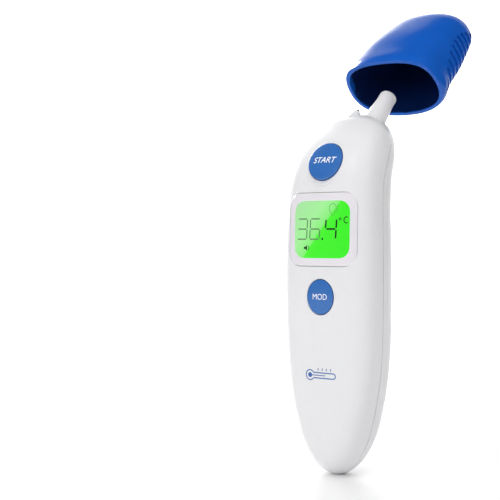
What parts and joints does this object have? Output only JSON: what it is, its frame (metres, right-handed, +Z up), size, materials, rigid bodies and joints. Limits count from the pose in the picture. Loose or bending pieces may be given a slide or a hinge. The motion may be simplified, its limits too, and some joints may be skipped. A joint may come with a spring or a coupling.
{
  "type": "digital ear thermometer",
  "caption": "Handheld infrared ear thermometer with a leaning probe, round start key, oval mode key, square green display and a hood-shaped cap drawn off the probe.",
  "frame": {"origin": "the middle of the grip, inside the handle where the palm closes round it", "axes": "+Z up the handle, +Y to the back of the hand side, +X to the right as the display is read; the probe points up and back at 45 degrees"},
  "size_m": [0.0442, 0.0913, 0.1862],
  "materials": {
    "housing_white": "smooth gloss white moulded plastic",
    "probe_white": "fine satin white moulded plastic",
    "key_blue": "domed gloss blue plastic",
    "cap_blue": "deep royal blue gloss plastic",
    "pin_blue": "dark navy acetal",
    "clear_lens": "clear lens with a pale printed border",
    "lcd_green": "liquid crystal cell lit green from behind",
    "diffuser": "milky light guide",
    "elastomer": "striped contact rubber",
    "inner_white": "plain white moulded plastic",
    "board_green": "solder-masked glass epoxy",
    "chip_black": "black epoxy packages",
    "switch_grey": "grey switch housing",
    "stem_tan": "tan switch plunger",
    "buzzer_brass": "brass sounder disc",
    "screw_steel": "zinc-plated steel",
    "cell_jacket": "foil-sleeved dry cell",
    "spring_steel": "nickel-plated wire",
    "contact_steel": "nickel-plated strip",
    "sensor_metal": "nickel-plated sensor can",
    "sleeve_brass": "polished heat-spreading sleeve",
    "sensor_window": "dark infrared window",
    "flex_amber": "amber polyimide strip"
  },
  "bodies": {
    "housing": {"front_shell": "housing_white", "rear_shell": "housing_white", "probe_cone": "probe_white", "probe_window": "sensor_window", "sensor_can": "sensor_metal", "sensor_sleeve": "sleeve_brass", "sensor_flex": "flex_amber", "probe_retainer": "inner_white", "pin_switch": "switch_grey", "start_switch": "switch_grey", "key_board": "board_green", "mode_switch": "switch_grey", "display_lens": "clear_lens", "lcd_glass": "lcd_green", "lcd_backlight": "diffuser", "zebra_strip": "elastomer", "lcd_frame": "inner_white", "main_board": "board_green", "board_chips": "chip_black", "buzzer": "buzzer_brass", "board_screws": "screw_steel", "case_screws": "screw_steel", "battery_left": "cell_jacket", "battery_right": "cell_jacket", "battery_springs": "spring_steel", "battery_contacts": "contact_steel"},
    "battery_cover": {"battery_door": "housing_white"},
    "cap_detect_pin": {"cap_pin": "pin_blue"},
    "start_key": {"start_button": "key_blue", "start_stem": "stem_tan"},
    "mode_key": {"mode_button": "key_blue", "mode_stem": "stem_tan"},
    "cap": {"cap_shell": "cap_blue", "cap_sleeve": "cap_blue"}
  },
  "joints": [
    {"name": "cap_slide", "type": "slide", "parent": "housing", "child": "cap", "axis": [0, 0.7431, 0.6691], "range_m": [-0.0385, 0.03]},
    {"name": "start_press", "type": "slide", "parent": "housing", "child": "start_key", "axis": [0, 0.9272, -0.3746], "range_m": [0, 0.0006], "stiffness_N_per_m": 1200},
    {"name": "mode_press", "type": "slide", "parent": "housing", "child": "mode_key", "axis": [0, 1, 0], "range_m": [0, 0.0006], "stiffness_N_per_m": 1200},
    {"name": "pin_press", "type": "slide", "parent": "housing", "child": "cap_detect_pin", "axis": [0, -0.7071, -0.7071], "range_m": [0, 0.0012], "stiffness_N_per_m": 150},
    {"name": "cover_lift", "type": "slide", "parent": "housing", "child": "battery_cover", "axis": [0, 1, 0], "range_m": [0, 0.02]}
  ]
}
